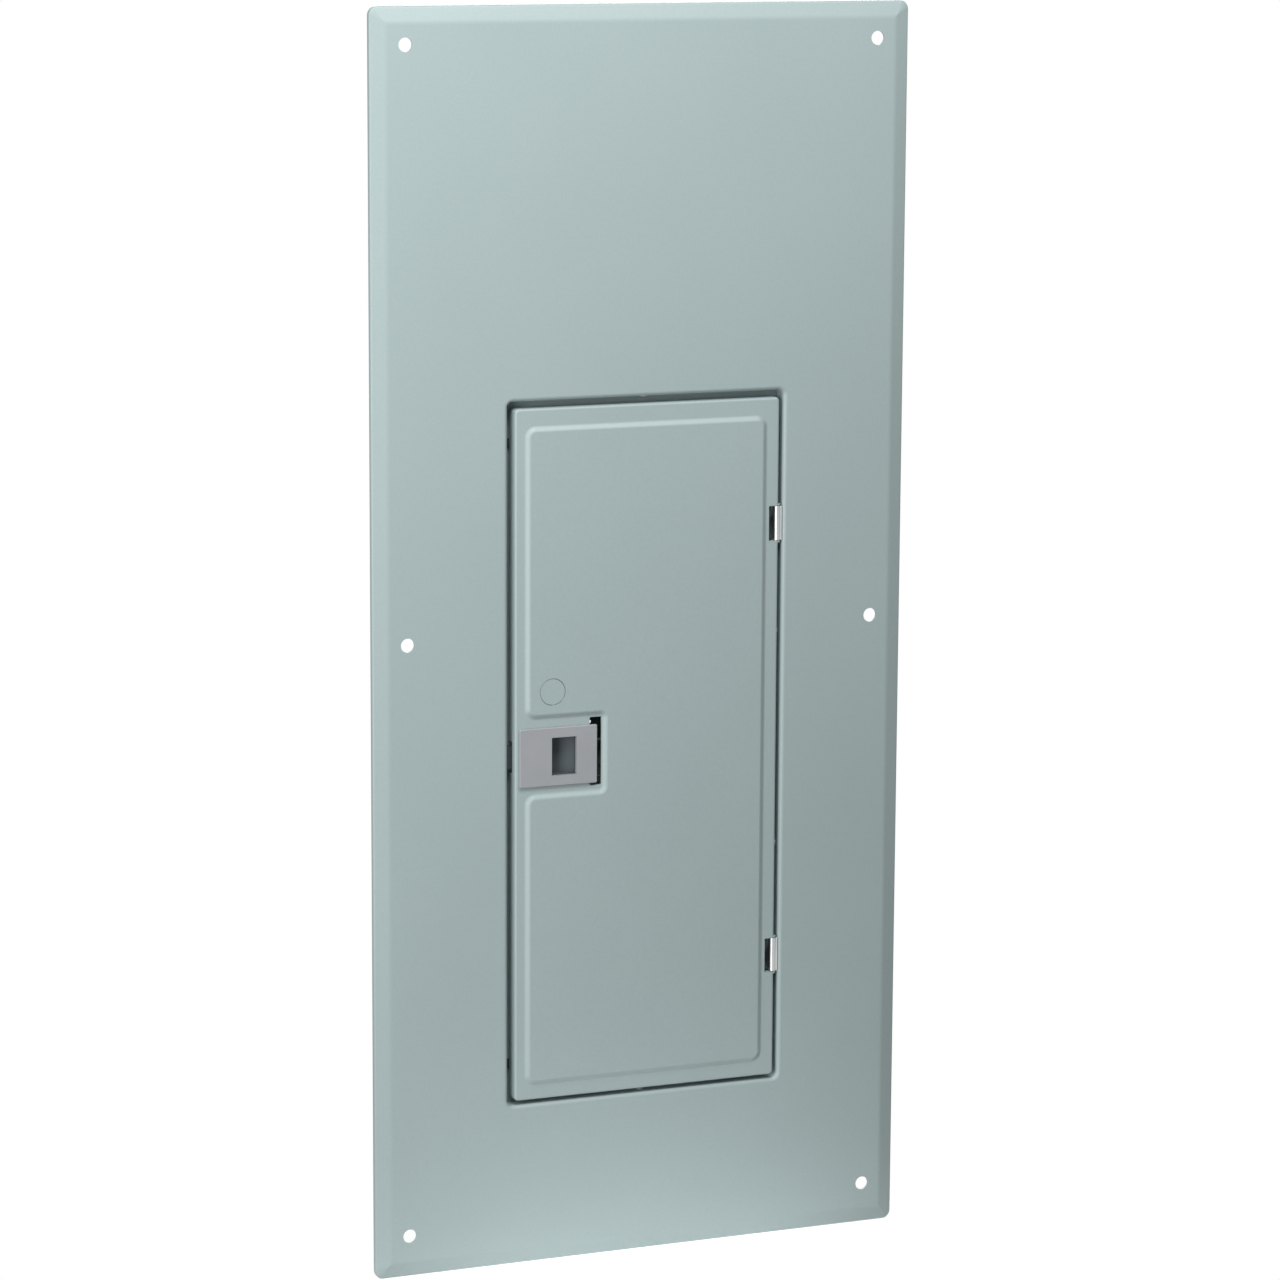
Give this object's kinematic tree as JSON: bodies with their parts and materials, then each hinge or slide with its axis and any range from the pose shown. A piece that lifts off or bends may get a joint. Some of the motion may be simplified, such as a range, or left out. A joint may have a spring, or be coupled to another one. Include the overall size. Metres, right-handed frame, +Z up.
{
  "type": "load center cover",
  "caption": "Tall painted steel trim cover with a hinged door, a sliding finger latch and a dead front closed by twist-out breaker plates.",
  "frame": {"origin": "centre of the assembly's bounding box", "axes": "+X to the right as seen from the front, +Y from the front into the wall, +Z up"},
  "size_m": [0.3874, 0.0272, 0.86],
  "materials": {
    "enamel": "satin grey baked enamel",
    "zinc": "bright zinc plate",
    "latch_plastic": "fine-textured moulded grey plastic",
    "rubber": "matt black rubber",
    "card": "matt white card with ruled lines"
  },
  "bodies": {
    "cover": {"front_pan": "enamel", "dead_front": "enamel", "main_twistout": "enamel", "twistout_left_01": "enamel", "twistout_left_02": "enamel", "twistout_left_03": "enamel", "twistout_left_04": "enamel", "twistout_left_05": "enamel", "twistout_left_06": "enamel", "twistout_left_07": "enamel", "twistout_left_08": "enamel", "twistout_left_09": "enamel", "twistout_left_10": "enamel", "twistout_left_11": "enamel", "twistout_left_12": "enamel", "twistout_left_13": "enamel", "twistout_left_14": "enamel", "twistout_left_15": "enamel", "twistout_right_01": "enamel", "twistout_right_02": "enamel", "twistout_right_03": "enamel", "twistout_right_04": "enamel", "twistout_right_05": "enamel", "twistout_right_06": "enamel", "twistout_right_07": "enamel", "twistout_right_08": "enamel", "twistout_right_09": "enamel", "twistout_right_10": "enamel", "twistout_right_11": "enamel", "twistout_right_12": "enamel", "twistout_right_13": "enamel", "twistout_right_14": "enamel", "twistout_right_15": "enamel", "dead_front_rivet_01": "zinc", "dead_front_rivet_02": "zinc", "dead_front_rivet_03": "zinc", "dead_front_rivet_04": "zinc", "dead_front_rivet_05": "zinc", "dead_front_rivet_06": "zinc", "hinge_bracket_upper": "zinc", "hinge_bracket_lower": "zinc", "hinge_rivet_01": "zinc", "hinge_rivet_02": "zinc", "hinge_rivet_03": "zinc", "hinge_rivet_04": "zinc", "door_bumper_upper": "rubber", "door_bumper_lower": "rubber"},
    "door": {"door_panel": "enamel", "lock_knockout": "enamel", "latch_guide": "zinc", "hinge_pin_upper": "zinc", "hinge_pin_lower": "zinc", "directory_card": "card"},
    "latch": {"latch_slide": "latch_plastic"}
  },
  "joints": [
    {"name": "door_hinge", "type": "hinge", "parent": "cover", "child": "door", "pos_m": [0.0994, -0.0091, 0], "axis": [0, 0, 1], "range_deg": [0, 110]},
    {"name": "latch_travel", "type": "slide", "parent": "door", "child": "latch", "axis": [1, 0, 0], "range_m": [-0.0025, 0.004]}
  ]
}
